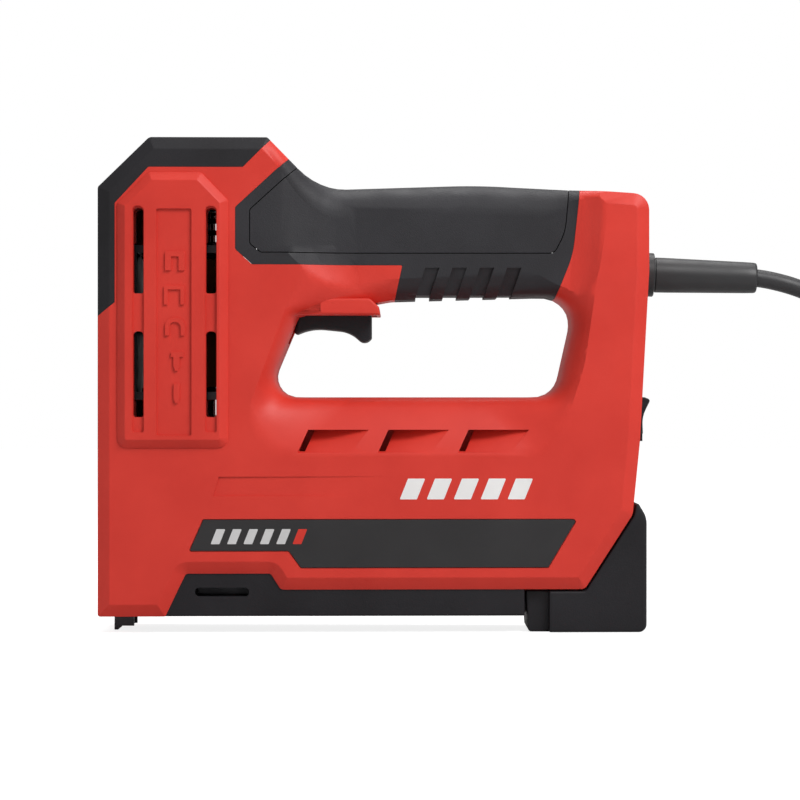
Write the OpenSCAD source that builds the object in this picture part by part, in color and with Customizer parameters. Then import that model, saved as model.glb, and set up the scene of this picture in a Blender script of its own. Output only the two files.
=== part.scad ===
// Corded electric staple gun: moulded housing halves round a solenoid,
// with a rail magazine that draws out of the back.
// X runs from the nose to the cord, Y across the body, Z up. Millimetres.
// The origin is on the standing surface, below the middle of the body.

/* [Housing] */
// Half width of the body at the front of the head
half_width = 28; // [27:0.5:30]
// Share of that width lost on the way to the rear post
taper = 0.18; // [0.1:0.01:0.2]
// Wall of the moulded halves, with the soft skin where there is one
wall = 3.2; // [3:0.1:3.6]
// Soft skin over the head and the handle
skin = 1.5; // [1:0.1:1.8]
// How far the vent panel stands out of the side of the head
panel_raise = 3; // [2:0.5:4]
// Half width of the handle
handle_half = 18.5; // [18:0.5:20]
// Depth of the pocket that holds a side label
label_pocket = 1; // [0.8:0.1:1.2]

/* [Driver] */
// Travel of the plunger and the blade
stroke = 22; // [20:0.5:22]
// Thickness of the driver blade, which is that of the staple wire
blade_t = 1.3; // [1.1:0.1:1.4]
// Half the crown width that the blade pushes
blade_half = 5; // [4:0.5:5.2]
// Radius of the solenoid plunger
plunger_r = 10; // [8:0.5:10]

/* [Magazine] */
// Half width of the steel channel
channel_half = 8; // [7.5:0.25:8.2]
// Sheet thickness of the channel
sheet = 1.2; // [1:0.1:1.4]
// Half width of the rail that the staples straddle
core_half = 3.9; // [3.4:0.1:4]

/* [Cord] */
// Diameter of the mains cord
cord_d = 7; // [6:0.5:7]
// Turns on each other in the folded hank, two turns wide
hank_layers = 3; // [3:1:3]

/* [Hidden] */
$fn = 48;

red = [0.78, 0.21, 0.17];
black = [0.12, 0.12, 0.13];
charcoal = [0.2, 0.2, 0.21];
steel = [0.62, 0.63, 0.65];
copper = [0.72, 0.42, 0.22];

body_x0 = -107.8;  // front face of the nose
body_x1 = 105.2;   // rear face of the post
base_z = 6.4;      // underside of the housing and the magazine base

// Corners of the side outlines: [x, z, radius].
body_outline = [[body_x0, base_z, 1], [body_x0, 172, 1.5], [-88, 191.3, 2.5], [-42.5, 191.3, 1.5],
    [-23.2, 172, 25], [40, 174, 250], [body_x1, 169.6, 6.5], [body_x1, 140, 60], [101.6, 74, 60],
    [98.8, 45.6, 5], [80.2, 16.7, 2.5], [-37.3, 16.7, 2], [-41.2, 22.9, 1.5], [-73.9, 22.9, 1.5],
    [-81.8, base_z, 0.8]];
hole_outline = [[-44.6, 90.5, 8.3], [69.8, 90.5, 10], [78.9, 131.1, 11], [7, 128.8, 0.5],
    [2.2, 127.5, 1.5], [1.2, 123.2, 0.8], [-31, 122.8, 2]];
panel_outline = [[-100, 71.5, 4], [-100, 165.7, 2], [-87.8, 177.5, 2], [-67.8, 177.5, 2],
    [-57.4, 166.8, 2], [-57.4, 71.5, 4]];
bumper_outline = [[-101, 127.5, 0], [-101, 165.7, 1], [-88.1, 179.6, 1], [-51.8, 179.6, 1],
    [-36, 195.5, 0], [-36, 205, 0], [-120, 205, 0], [-120, 112.7, 0]];
grip_outline = [[-34.8, 182.6, 0], [-54.8, 164.2, 1.5], [-54.8, 148, 1.5], [-48.3, 142.1, 1.5],
    [9.6, 142.1, 0.5], [6.6, 128.6, 0], [6, 120, 0], [62, 120, 0], [69.7, 131.1, 0],
    [75.8, 146, 40], [78.6, 172, 0], [79, 185, 0], [-20, 195, 0]];
label_outline = [[-67.2, 44.1, 1], [77.5, 44.1, 1.2], [66.1, 25, 0.8], [-29.6, 25, 1],
    [-34.3, 31.5, 1], [-72.8, 31.5, 0.8]];
foot_outline = [[58.5, 0, 1.2], [104.3, 0, 3], [104.3, 44.5, 9], [100.2, 51.3, 0.8],
    [99.4, 45.4, 5.5], [80.5, 16.1, 2], [57.4, 16.1, 0.5]];
trigger_outline = [[-31.5, 124, 0], [-33, 115, 1], [-26, 118, 20], [-11, 116.5, 12],
    [-5.2, 111.2, 3], [-2.4, 114, 0.8], [-2.4, 124, 0], [-3, 134, 1], [-34, 134, 1], [-42, 130, 3],
    [-42, 124, 2]];

solenoid_x = -76;
coil_z0 = 90;
coil_z1 = 150;
blade_x = -101.4;     // front face of the blade
blade_z = 23.5;       // tip of the blade at rest
carrier_z = 72;       // underside of the blade carrier at rest
nose_top = 44;
pivot = [-38, 127];   // trigger pin
rocker_pivot = [101.2, 84];
rocker_tilt = 12;      // either way of its middle position
gland = [105.6, 139.3];
gland_tilt = 1.7;
sleeve_end = 43.5;    // length of the strain relief past the rear panel
screws = [[-100.2, 166], [-49, 178], [-56, 50], [56, 57], [90, 62], [93, 158]];
// Ribs that seat the parts inside: [x, distance from the middle, z, length, height].
ribs = [[-95.4, 10.1, 32, 5, 12], [-99, 10, 86, 38, 3.9], [-24, 5.1, 140, 16, 3], [-20, 10, 60, 8, 2],
    [40, 10, 60, 8, 2], [84, 6.4, 74, 3, 20], [88, 9.2, 130.5, 7, 2]];
base_x0 = -95.3;
base_x1 = 57;
channel_z = 7;
channel_top = 23.3;
rod_z = 27;           // axis of the follower's guide rod
cord_r = cord_d / 2;

// Route of the cord from the strain relief down to the hank, and from the hank to the plug.
cord_route = [[107.8, 0, 139.2], [128, 0, 138.6], [149.1, 0, 138], [153, 0, 137.4], [158, 0, 136.3],
    [163, 0, 134.9], [170, 0, 132.3], [177, 0, 128.8], [184, -0.5, 124.2], [191, -1.5, 118.3],
    [197, -3, 111.7], [202, -4.8, 104.3], [206.2, -7, 96], [209.5, -9.6, 87], [212, -12.5, 77.5],
    [214.2, -15.6, 67.8], [216.6, -18.8, 58], [220, -21.9, 48.5], [224.8, -24.7, 40],
    [231.3, -26.8, 33.2], [240, -27.8, 28.2], [250, -28, 25.4], [262, -28, 24.5]];
plug_route = [[237.5, -21, 24.5], [244, -20.6, 24.1], [251, -19, 22.9], [258, -16.2, 20.8],
    [265, -12.4, 18], [272, -8.2, 14.8], [279, -4.6, 12], [286, -1.9, 9.9], [292, -0.5, 8.9],
    [297, 0, 8.5]];
hank_x0 = 237.5;      // where the straight runs of the hank start
hank_run = 106;
hank_r = 28;          // centre line of the outer turn
plug_at = [315, 0, 0];

function unit(v) = v / norm(v);
function turn(a) = a > 180 ? a - 360 : a < -180 ? a + 360 : a;

// The points of one rounded corner b between its neighbours a and c.
function corner(a, b, c, steps) =
    let (p = [b[0], b[1]], u = unit([a[0], a[1]] - p), v = unit([c[0], c[1]] - p),
        half = acos(u * v) / 2, centre = p + unit(u + v) * b[2] / sin(half),
        first = p + u * b[2] / tan(half) - centre, last = p + v * b[2] / tan(half) - centre,
        start = atan2(first[1], first[0]), sweep = turn(atan2(last[1], last[0]) - start))
    b[2] == 0 ? [p] : [for (i = [0:steps])
        centre + b[2] * [cos(start + sweep * i / steps), sin(start + sweep * i / steps)]];
function rounded(c, steps = 5) = [for (i = [0:len(c) - 1])
    each corner(c[(i + len(c) - 1) % len(c)], c[i], c[(i + 1) % len(c)], steps)];

// Half width of the flat side face at x.
function side(x) = half_width * (1 - taper * (x - body_x0) / (body_x1 - body_x0));

// Draws an [x, z] outline as a slab across the body.
module across(depth = 90) rotate([90, 0, 0]) linear_extrude(depth, center = true) children();

// Everything between the two side faces, each moved in by inset.
module flank(inset) translate([0, 0, -5]) linear_extrude(210)
    polygon([for (x = [-125, 125]) [x, inset - side(x)], for (x = [125, -125]) [x, side(x) - inset]]);

// The half of space on the left (-Y) or right side.
module half_space(right) translate([-130, right ? 0 : -60, -10]) cube([260, 60, 220]);

// A slab that follows an outline between two depths in the side face.
module inlay(points, deep, shallow) difference() {
    intersection() {
        across() polygon(points);
        flank(shallow);
    }
    flank(deep);
}

// Turned section [radius, height] about an axis along X that starts at the point p.
module along_x(p) translate(p) rotate([0, 90, 0]) children();
module along_y(p) translate(p) rotate([90, 0, 0]) children();

// What the fingers need: the sides fall away round the hand hole.
module scoop(t) translate([0, t, 0]) hull() {
    translate([0, -33, 0]) across(16) polygon(rounded([[-60, 68, 12], [75, 68, 10], [86, 125, 4],
        [88, 158, 4], [-22, 158, 4], [-33.5, 130.3, 4]], 3));
    translate([0, -handle_half + 0.5, 0]) across(1) polygon([[-40, 92], [68, 92], [75, 128],
        [75, 150], [-12, 150], [-28, 122]]);
}

// The handle is narrower than the head and the post that it joins.
module handle_side(t) translate([0, t, 0]) hull() {
    translate([0, -33, 0]) across(16) polygon([[-33, 125], [-38, 150], [-33, 215], [90, 215],
        [88, 125]]);
    translate([0, -handle_half + 0.5, 0]) across(1) polygon([[-12, 120], [-12, 215], [77, 215],
        [75, 120]]);
}

// Rounds the long edges of the handle.
module handle_rounding(t) for (e = [[172.5, 1, 13], [130, -1, 9]])
    translate([-24, -handle_half + t, e[0] - e[1] * t]) difference() {
        translate([0, -1, e[1] > 0 ? -e[2] : -9]) cube([102, e[2] + 1, e[2] + 9]);
        translate([-1, e[2], -e[1] * e[2]]) rotate([0, 90, 0]) cylinder(r = e[2], h = 104);
    }

// The left half of the outer form, with every face moved in by t.
module half_form(t) difference() {
    intersection() {
        union() {
            intersection() {
                across() offset(delta = -t) polygon(rounded(body_outline));
                flank(t);
            }
            intersection() {
                across() offset(delta = -t) polygon(rounded(panel_outline));
                flank(t - panel_raise);
            }
        }
        half_space(false);
    }
    across() offset(delta = t) polygon(rounded(hole_outline));
    scoop(t);
    handle_side(t);
    handle_rounding(t);
}

// The part of the outer skin that lies inside an outline.
module skin_piece(points) difference() {
    intersection() {
        half_form(0);
        across() polygon(rounded(points));
    }
    half_form(skin);
}

// Vent slots through the panel, and the shallow grooves that they lie in.
module head_vents() {
    for (x = [-91.8, -63.9], z = [83.3, 130.8])
        translate([x - 2, -45, z]) cube([4, 30, 33]);
    for (x = [-91.8, -63.9]) inlay([[x - 2, 78], [x + 2, 78], [x + 2, 164], [x - 2, 164]], 1.2 - panel_raise, -6);
    inlay([[-84.8, 76.2], [-71.3, 76.2], [-71.3, 163.4], [-84.8, 163.4]], 1 - panel_raise, -6);
}

// Three scooped vents below the hand hole.
module body_vents() for (i = [0:2]) translate([-27.4 + 31 * i, 0, 0])
    across() polygon([[-3, 69.5], [-0.5, 78], [2.5, 78], [1.5, 69.5]]);

module housing_half() difference() {
    union() {
        difference() {
            half_form(0);
            across() polygon(rounded(bumper_outline));
            across() polygon(rounded(grip_outline));
        }
        half_form(skin);
    }
    difference() {
        half_form(wall);
        for (p = screws) along_y([p[0], 0.01, p[1]]) cylinder(r = 4, h = 40);
        for (r = ribs) translate([r[0], -40, r[2]]) cube([r[3], 40 - r[1], r[4]]);
    }
    // Room for the magazine, the nose and the rear panel.
    intersection() {
        translate([-104.6, -40, -5]) cube([204, 80, 36.5]);
        flank(wall - 0.2);
    }
    translate([-120, -14.2, 0]) cube([16, 30, 64.5]);
    translate([96, -8.7, 51]) cube([20, 20, 100]);
    translate([-36, -7.4, 116]) cube([35.4, 20, 18]);
    for (y = [-13, 13]) along_x([-96, y, 37]) cylinder(r = 1.7, h = 7);
    along_y([pivot[0], 10, pivot[1]]) cylinder(r = 1.6, h = 23);
    inlay(rounded(label_outline), label_pocket, -1);
    head_vents();
    body_vents();
}

module left_housing() color(red) difference() {
    housing_half();
    for (p = screws) along_y([p[0], 1, p[1]]) cylinder(r = 1.6, h = 15);
}

module right_housing() color(red) difference() {
    mirror([0, 1, 0]) housing_half();
    for (p = screws) {
        along_y([p[0], 40, p[1]]) cylinder(r = 1.9, h = 41);
        along_y([p[0], 40, p[1]]) cylinder(r = 3.2, h = 28);
    }
}

module housing_screws() color(steel) for (p = screws) {
    along_y([p[0], 12, p[1]]) cylinder(r = 1.5, h = 24);
    along_y([p[0], 14, p[1]]) difference() {
        cylinder(r = 2.9, h = 2);
        translate([-2, -0.4, -1]) cube([4, 0.8, 2]);
        translate([-0.4, -2, -1]) cube([0.8, 4, 2]);
    }
}

module head_bumper(right) color(black) mirror([0, right ? 1 : 0, 0]) skin_piece(bumper_outline);

// The soft grip, with slanting finger grooves below.
module grip(right) color(black) mirror([0, right ? 1 : 0, 0]) difference() {
    skin_piece(grip_outline);
    for (i = [0:3]) translate([13.9 + 10.6 * i, -33, 0]) difference() {
        across(40) polygon([[0, 120], [5.4, 120], [9.6, 141], [4.2, 141]]);
        translate([0, 33 - handle_half + 0.8, 131.2]) cube([20, handle_half - 0.8, 20]);
    }
}

module label(right) color(charcoal) mirror([0, right ? 1 : 0, 0]) intersection() {
    inlay([for (p = rounded(label_outline)) p * 0.998 + [0, 0.07]], label_pocket, 0.2);
    half_space(false);
}

// Front cover over the nose, between the two halves.
module nose_cover() color(red) difference() {
    translate([body_x0, -14, base_z]) cube([3, 28, 58]);
    translate([body_x0 - 1, -6, -1]) cube([6, 12, 16]);
}

// Black insert in the back of the post, with the switch and the cord entry.
module rear_panel() color(black) difference() {
    intersection() {
        across(17) difference() {
            offset(delta = 0.4) polygon(rounded(body_outline));
            offset(delta = -wall + 0.4) polygon(rounded(body_outline));
        }
        translate([90, -20, 51.2]) cube([30, 40, 99.6]);
    }
    gland_axis() translate([0, 0, -10]) cylinder(r = 6.6, h = 20);
    translate([90, -6.2, 73.6]) cube([30, 12.4, 20.8]);
}

module switch_body() color(charcoal) difference() {
    union() {
        translate([86, -6, 73.8]) cube([17.8, 12, 20.4]);
        for (z = [76, 82, 88]) translate([80, -2, z]) cube([6.1, 4, 0.8]);
    }
    translate([96, -4.8, 75.4]) cube([20, 9.6, 17.2]);
    along_y([rocker_pivot[0], 5.8, rocker_pivot[1]]) cylinder(r = 1.3, h = 11.6);
}

// Rocker with its upper end proud and its lower end pressed in.
module rocker_button() color(black) translate([rocker_pivot[0], 0, rocker_pivot[1]])
    rotate([0, rocker_tilt, 0]) along_y([0, 4.4, 0]) linear_extrude(8.8) difference() {
        polygon(rounded([[-2.5, -6, 0.6], [-2.5, 6, 0.6], [2, 7.6, 0.5], [4.6, 7.2, 1],
            [2.8, 0, 12], [4.6, -7.2, 1], [2, -7.6, 0.5]]));
        circle(r = 1.3);
    }

module rocker_pin() color(steel) along_y([rocker_pivot[0], 5.8, rocker_pivot[1]])
    cylinder(r = 1.25, h = 11.6);

module nose_front_plate() color(steel) difference() {
    union() {
        translate([-103.1, -8, 0]) cube([1.4, 16, nose_top]);
        for (y = [-8, 5.4]) translate([-101.75, y, 1.5]) cube([1.95, 2.6, nose_top - 1.5]);
    }
    for (z = [32, 39]) along_x([-110, 0, z]) cylinder(r = 1.2, h = 9);
}

// Rear half of the nose, with the window that the staples come through.
module nose_block() color(steel) difference() {
    union() {
        translate([-99.8, -8, 1.5]) cube([4.3, 16, nose_top - 1.5]);
        translate([-99.8, -17, 32]) cube([4.3, 34, 12]);
        translate([-95.6, -10, 40]) cube([18, 20, 4]);
    }
    translate([-100, -5.6, 0]) cube([5, 11.2, 23.4]);
    for (y = [-13, 13]) along_x([-101, y, 37]) cylinder(r = 1.8, h = 7);
}

module nose_screws() color(steel) for (y = [-13, 13]) {
    along_x([-99.9, y, 37]) cylinder(r = 1.6, h = 9);
    along_x([-102, y, 37]) cylinder(r = 3, h = 2.1);
}

module stroke_bumper() color(charcoal) translate([-98, -8, nose_top]) cube([18, 16, 5.8]);

module solenoid_frame() color(steel) difference() {
    translate([solenoid_x - 20, -18, coil_z0]) cube([40, 36, coil_z1 - coil_z0]);
    translate([solenoid_x - 17.5, -19, coil_z0 + 3]) cube([35, 38, coil_z1 - coil_z0 - 6]);
    translate([solenoid_x, 0, coil_z1 - 4]) cylinder(r = plunger_r + 0.6, h = 8);
    translate([solenoid_x, 0, coil_z0 - 1]) cylinder(r = 4.2, h = 5);
}

module coil_bobbin() color(charcoal) translate([solenoid_x, 0, coil_z0 + 3.1]) rotate_extrude()
    polygon([[plunger_r + 0.4, 0], [17, 0], [17, 1.6], [plunger_r + 2, 1.6], [plunger_r + 2, 52.2],
        [17, 52.2], [17, 53.8], [plunger_r + 0.4, 53.8]]);

module coil_winding() color(copper) translate([solenoid_x, 0, coil_z0 + 4.9]) difference() {
    cylinder(r = 16.4, h = 50.2);
    translate([0, 0, -1]) cylinder(r = plunger_r + 2.1, h = 53);
}

module plunger() color(steel) translate([solenoid_x, 0, 0]) {
    translate([0, 0, carrier_z + 8]) cylinder(r = 3.5, h = 37);
    translate([0, 0, 116]) cylinder(r = plunger_r, h = 64);
    translate([0, 0, 180]) cylinder(r = plunger_r + 4, h = 3);
}

// A spring drawn as its sleeve, with a helix groove left to the finish.
module spring_sleeve(outer, inner, length) difference() {
    cylinder(r = outer, h = length);
    translate([0, 0, -1]) cylinder(r = inner, h = length + 2);
}

module return_spring() color(steel) translate([solenoid_x, 0, coil_z1 + 0.1])
    spring_sleeve(plunger_r + 3, plunger_r + 0.8, 29.8);

module blade_carrier() color(steel) translate([-100, -7, carrier_z]) cube([32, 14, 8]);

module driver_blade() color(steel) translate([blade_x, -blade_half, blade_z])
    cube([blade_t, 2 * blade_half, carrier_z + 8 - blade_z]);

module blade_rivets() color(steel) for (y = [-3, 3])
    along_x([blade_x - 1.2, y, carrier_z + 4]) cylinder(r = 1.4, h = 1.2);

module trigger() color(black) difference() {
    across(14) polygon(rounded(trigger_outline));
    along_y([pivot[0], 10, pivot[1]]) cylinder(r = 1.55, h = 20);
    translate([-30, -5.5, 120]) cube([24, 11, 20]);
}

module trigger_pin() color(steel) along_y([pivot[0], 12, pivot[1]]) cylinder(r = 1.5, h = 24);

module trigger_spring() color(steel) translate([-26, 0, 120.2]) spring_sleeve(3, 2.2, 19.6);

module microswitch() color(charcoal) {
    translate([-20, -5, 140]) cube([20, 10, 10]);
    translate([-31, -5, 140]) cube([11.1, 10, 2]);
    translate([-5, -1, 139.2]) cube([2, 2, 0.9]);
}

module control_board() color([0.1, 0.35, 0.2]) difference() {
    translate([-20, 8, 32]) cube([68, 1.6, 32]);
    for (x = [-16, 44], z = [35, 61]) along_y([x, 12, z]) cylinder(r = 1.5, h = 5);
}

module capacitor() color(charcoal) along_x([4, 0, 44]) cylinder(r = 7.4, h = 26);

module heat_sink() color(steel) {
    translate([-14, 5.2, 38]) cube([12, 2.7, 20]);
    for (z = [38, 43, 48, 53]) translate([-14, -3, z]) cube([12, 8.3, 1.6]);
}

// A round lead along the points of a route.
module lead(route, r, sides = 8) {
    last = len(route) - 1;
    function heading(i) = unit(route[min(i + 1, last)] - route[max(i - 1, 0)]);
    rings = [for (i = [0:last])
        let (h = heading(i), side_way = unit(cross([0.02, 0.1, 1], h)), up_way = cross(h, side_way))
        for (k = [0:sides - 1])
            route[i] + r * (side_way * cos(360 * k / sides) + up_way * sin(360 * k / sides))];
    walls = [for (i = [0:last - 1], k = [0:sides - 1]) let (n = (k + 1) % sides)
        [i * sides + k, (i + 1) * sides + k, (i + 1) * sides + n, i * sides + n]];
    polyhedron(rings, concat([[for (k = [0:sides - 1]) k]],
        walls, [[for (k = [sides - 1:-1:0]) last * sides + k]]));
}

// Cord cores to the switch and the board, and the board to the coil and the microswitch.
wires = [
    [[84.3, 3, 138], [82.5, 3.2, 130], [81.5, 3, 115], [80.2, 1, 100], [79.5, 0, 91]],
    [[84.3, -3, 138], [83, -5, 128], [82, -7, 112], [80.5, -9, 96], [79, -9, 80], [74, -7, 66],
        [68, -3, 54], [60, 2, 46.5], [53, 6, 46.5], [48.6, 7.3, 49]],
    [[79.6, 0, 73], [79, 2, 68], [72, 6, 54], [63, 8, 43], [54, 8.8, 40.5], [48.6, 8.8, 40]],
    [[-20.6, 8.6, 50], [-30, 10, 54], [-42, 12, 64], [-50, 13.6, 74], [-54, 14, 84], [-54.8, 14, 95]],
    [[-20.6, 8.6, 58], [-32, 8, 64], [-46, 7, 80], [-50, 6, 100], [-50, 6, 130], [-46, 4, 144],
        [-36, 2, 148], [-20.8, 0, 147.5]]];
module wiring() color(charcoal) for (w = wires) lead(w, 1.1);

// Fixed black channel below the body, with a window on the staples.
module magazine_base() color(black) difference() {
    intersection() {
        translate([base_x0, -40, base_z]) cube([base_x1 - base_x0, 80, 26 - base_z]);
        flank(wall);
    }
    translate([base_x0 - 1, -channel_half - 0.5, 0]) cube([160, 2 * channel_half + 1, 40]);
    translate([-70.4, -40, 14.1]) cube([20.8, 80, 3.3]);
    for (s = [-1, 1]) translate([-40, s * 17 - 2, 12]) cube([90, 4, 20]);
}

module magazine_channel() color(steel) difference() {
    translate([base_x0, -channel_half, channel_z]) cube([170, 2 * channel_half, channel_top - channel_z]);
    translate([base_x0 - 1, sheet - channel_half, channel_z + sheet])
        cube([180, 2 * (channel_half - sheet), 30]);
    for (x = [62, 70]) translate([x, 0, 0]) cylinder(r = 1.55, h = 20);
}

module staple_core() color(steel) difference() {
    translate([base_x0, -core_half, channel_z + sheet]) cube([160, 2 * core_half, 12.8]);
    translate([base_x0 - 1, 1 - core_half, channel_z]) cube([170, 2 * core_half - 2, 13]);
}

module guide_rod() color(steel) along_x([-93.5, 0, rod_z]) cylinder(r = 1.2, h = 160);

module rod_bracket() color(steel) for (x = [-94.8, 62]) difference() {
    union() {
        translate([x, -channel_half, channel_top]) cube([2, 2 * channel_half, 6.4]);
        for (y = [-channel_half, channel_half - sheet])
            translate([x, y, channel_top]) cube([6, sheet, 2]);
    }
    along_x([x - 1, 0, rod_z]) cylinder(r = 1.3, h = 4);
}

module pusher() color(charcoal) difference() {
    union() {
        translate([-92.4, -6.5, 9]) cube([16, 13, 15]);
        translate([-92.4, -3.5, 24]) cube([8, 7, 6]);
    }
    translate([-100, -core_half - 0.3, 5]) cube([30, 2 * core_half + 0.6, 16.3]);
    along_x([-100, 0, rod_z]) cylinder(r = 1.3, h = 30);
}

module pusher_spring() color(steel) along_x([-84.2, 0, rod_z]) spring_sleeve(2.7, 1.9, 146);

module magazine_foot() color(black) difference() {
    intersection() {
        across() polygon(rounded(foot_outline));
        flank(2.2);
    }
    // Narrower ahead of the step.
    for (s = [0, 1]) mirror([0, s, 0]) linear_extrude(30)
        polygon([[50, -17.5], [58, -17.5], [65.8, -side(65.8) + 2.2], [65.8, -30], [50, -30]]);
    // Seat of the channel, the cavity behind it and the pocket of the latch.
    translate([50, -channel_half, channel_z]) cube([24.7, 2 * channel_half, 20]);
    across(28) polygon([[77.5, 3], [88, 3], [88, 40], [77.5, 20]]);
    translate([91, -8.3, 13.7]) cube([20, 16.6, 14.6]);
    for (x = [62, 70]) translate([x, 0, -1]) {
        cylinder(r = 3, h = 4);
        cylinder(r = 1.6, h = 9);
    }
}

module foot_screws() color(steel) for (x = [62, 70]) translate([x, 0, 1]) {
    cylinder(r = 2.8, h = 2);
    cylinder(r = 1.5, h = 7.2);
}

module latch_button() color(charcoal) difference() {
    translate([96.8, -8, 14]) cube([7.3, 16, 14]);
    for (z = [16.4, 19.4, 22.4, 25.4]) translate([103.6, -6, z]) cube([2, 12, 1.2]);
}

module latch_spring() color(steel) along_x([91.1, 0, 21]) spring_sleeve(3.5, 2.8, 5.6);

// The cord entry droops a little under the weight of the cord.
module gland_axis() translate([gland[0], 0, gland[1]]) rotate([0, 90 + gland_tilt, 0]) children();

module strain_relief() color(black) gland_axis() difference() {
    union() {
        translate([0, 0, -3.6]) cylinder(r = 6.4, h = 4);
        translate([0, 0, 0.4]) cylinder(r = 8.8, h = 3.2);
        translate([0, 0, 3.6]) cylinder(r1 = 6.4, r2 = 5.9, h = sleeve_end - 3.6);
    }
    translate([0, 0, -10]) cylinder(r = cord_r + 0.1, h = 80);
}

module cord_lead() color(black) gland_axis() translate([0, 0, -20]) cylinder(r = cord_r, h = 22.2);

module cord_clamp() color(charcoal) for (z = [132.6, 143.6])
    translate([88.5, -9, z]) cube([6, 18, 2.2]);

module clamp_screws() color(steel) for (y = [-6.4, 6.4]) translate([91.5, y, 134.9]) cylinder(r = 1.4, h = 8.6);

module power_cord() color(black) lead(cord_route, cord_r);

module plug_lead() color(black) lead(plug_route, cord_r);

module hank_shape(r, z0, z1) translate([0, 0, z0]) linear_extrude(z1 - z0) {
    translate([hank_x0, -r]) square([hank_run, 2 * r]);
    for (x = [hank_x0, hank_x0 + hank_run]) translate([x, 0]) circle(r);
}

// Outer shape of the folded cord.
module cord_hank() color(black) difference() {
    hank_shape(hank_r + cord_r, 0, cord_d * hank_layers);
    translate([0, 0, -1]) hank_shape(hank_r - 1.5 * cord_d, 0, 2 + cord_d * hank_layers);
}

// Two bands that hold the runs together, with room for the turn that lies on top.
module cord_ties() color(charcoal) for (s = [0, 1]) mirror([0, s, 0])
    translate([hank_x0 + 30, -hank_r - cord_r - 1.4, 0]) difference() {
        cube([12, 2 * cord_d + 2.8, cord_d * (hank_layers + 1) + 1.5]);
        translate([-1, 1.2, -1]) cube([14, 2 * cord_d + 0.4, cord_d * (hank_layers + 1) + 1.3]);
    }

module plug_body() color(black) translate(plug_at) {
    translate([0, -13, 0]) cube([24, 26, 17]);
    translate([-18, 0, 8.5]) rotate([0, 90, 0]) cylinder(r1 = 4.6, r2 = 7, h = 18);
}

module plug_blades() color(steel) for (y = [-6.35, 6.35])
    translate(plug_at + [24, y - 0.75, 5.3]) cube([17, 1.5, 6.4]);

left_housing();
right_housing();
head_bumper(false);  // left_head_bumper
head_bumper(true);  // right_head_bumper
grip(false);  // left_grip
grip(true);  // right_grip
label(false);  // left_label
label(true);  // right_label
housing_screws();
nose_cover();
rear_panel();
switch_body();
rocker_button();
rocker_pin();
nose_front_plate();
nose_block();
nose_screws();
stroke_bumper();
solenoid_frame();
coil_bobbin();
coil_winding();
plunger();
return_spring();
blade_carrier();
driver_blade();
blade_rivets();
trigger();
trigger_pin();
trigger_spring();
microswitch();
control_board();
capacitor();
heat_sink();
wiring();
magazine_base();
magazine_channel();
staple_core();
guide_rod();
rod_bracket();
pusher();
pusher_spring();
magazine_foot();
foot_screws();
latch_button();
latch_spring();
strain_relief();
cord_clamp();
clamp_screws();
cord_lead();
power_cord();
plug_lead();
cord_hank();
cord_ties();
plug_body();
plug_blades();
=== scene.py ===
from math import acos, atan2, cos, pi, radians, sin, sqrt, tan

import bpy
from mathutils import Matrix, Vector


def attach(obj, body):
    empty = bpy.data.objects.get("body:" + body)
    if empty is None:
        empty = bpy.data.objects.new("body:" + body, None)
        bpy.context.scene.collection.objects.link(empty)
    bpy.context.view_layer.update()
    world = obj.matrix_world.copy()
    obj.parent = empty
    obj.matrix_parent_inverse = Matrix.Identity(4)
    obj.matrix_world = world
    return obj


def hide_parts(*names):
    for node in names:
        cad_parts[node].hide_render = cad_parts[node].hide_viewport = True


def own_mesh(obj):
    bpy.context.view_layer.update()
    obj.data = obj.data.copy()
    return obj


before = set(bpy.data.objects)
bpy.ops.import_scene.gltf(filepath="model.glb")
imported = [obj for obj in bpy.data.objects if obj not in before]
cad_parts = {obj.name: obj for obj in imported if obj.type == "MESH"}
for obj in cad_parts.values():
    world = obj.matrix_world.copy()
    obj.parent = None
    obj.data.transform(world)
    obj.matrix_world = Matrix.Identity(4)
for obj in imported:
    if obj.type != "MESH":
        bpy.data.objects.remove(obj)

mm = 0.001
scene = bpy.context.scene
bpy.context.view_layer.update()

# The side faces lean in towards the rear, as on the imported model.
outside, pastMiddle = 45, 3  # how far the cutters reach, out from the middle plane and past it
bodyForm = {"noseX": -107.8, "postX": 105.2, "halfWidth": 28.0, "taper": 0.18,
            "chamfer": 4.6, "edgeDrop": 2.6, "handleHalf": 18.5, "panelRaise": 3.0, "seam": 0.08}


def side(x):
    along = (x - bodyForm["noseX"]) / (bodyForm["postX"] - bodyForm["noseX"])
    return bodyForm["halfWidth"] * (1 - bodyForm["taper"] * along)


# Small modelling helpers, all in millimetres.
finishForm = {"merge": 0.004, "flat": 0.4, "smooth": 32, "softSmooth": 40}  # mm, then degrees


def clearSelection():
    bpy.ops.object.select_all(action="DESELECT")


def pick(piece):
    clearSelection()
    piece.select_set(True)
    bpy.context.view_layer.objects.active = piece


def editAll(piece, *steps):
    pick(piece)
    bpy.ops.object.mode_set(mode="EDIT")
    bpy.ops.mesh.select_all(action="SELECT")
    for step in steps:
        step()
    bpy.ops.object.mode_set(mode="OBJECT")


def roundedCorner(before, corner, after, steps):
    point = Vector(corner[:2])
    toBefore = (Vector(before[:2]) - point).normalized()
    toAfter = (Vector(after[:2]) - point).normalized()
    half = acos(max(-1, min(1, toBefore.dot(toAfter)))) / 2
    centre = point + (toBefore + toAfter).normalized() * corner[2] / sin(half)
    first = point + toBefore * corner[2] / tan(half) - centre
    last = point + toAfter * corner[2] / tan(half) - centre
    start = atan2(first.y, first.x)
    sweep = (atan2(last.y, last.x) - start + pi) % (2 * pi) - pi
    return [tuple(centre + corner[2] * Vector((cos(start + sweep * k / steps), sin(start + sweep * k / steps))))
            for k in range(steps + 1)]


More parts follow.
